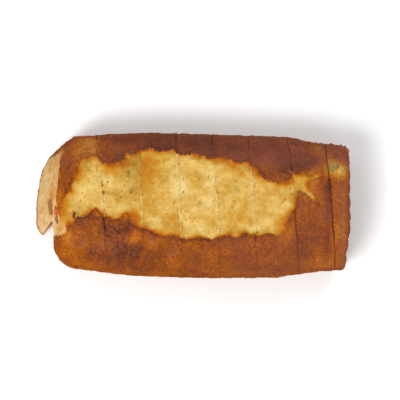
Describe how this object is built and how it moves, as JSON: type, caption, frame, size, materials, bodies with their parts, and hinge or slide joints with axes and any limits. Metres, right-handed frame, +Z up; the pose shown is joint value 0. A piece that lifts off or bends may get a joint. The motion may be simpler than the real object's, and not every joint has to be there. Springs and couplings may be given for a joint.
{
  "type": "fruit cake loaf",
  "caption": "Pound cake loaf with candied fruit, knife cut into slices that stand together, with a pale burst along its browned top.",
  "frame": {"origin": "centre of the loaf's footprint, on the surface it rests on", "axes": "+X along the loaf towards its baked heel, +Y towards its back, +Z up"},
  "size_m": [0.1904, 0.0876, 0.0505],
  "materials": {
    "crust": "matte, slightly moist baked crust, brown to golden, with pale yellow skin in the burst",
    "crumb": "matte, open pale yellow crumb on the cut faces",
    "candied_fruit": "moist, slightly glossy candied orange peel, cherry and green peel",
    "raisin": "wrinkled dark raisin with a dull sheen"
  },
  "bodies": {
    "root": {"slice_1": "crust", "slice_2": "crust", "slice_3": "crust", "slice_4": "crust", "slice_5": "crust", "slice_6": "crust", "slice_7": "crust", "slice_8": "crust"}
  },
  "joints": []
}
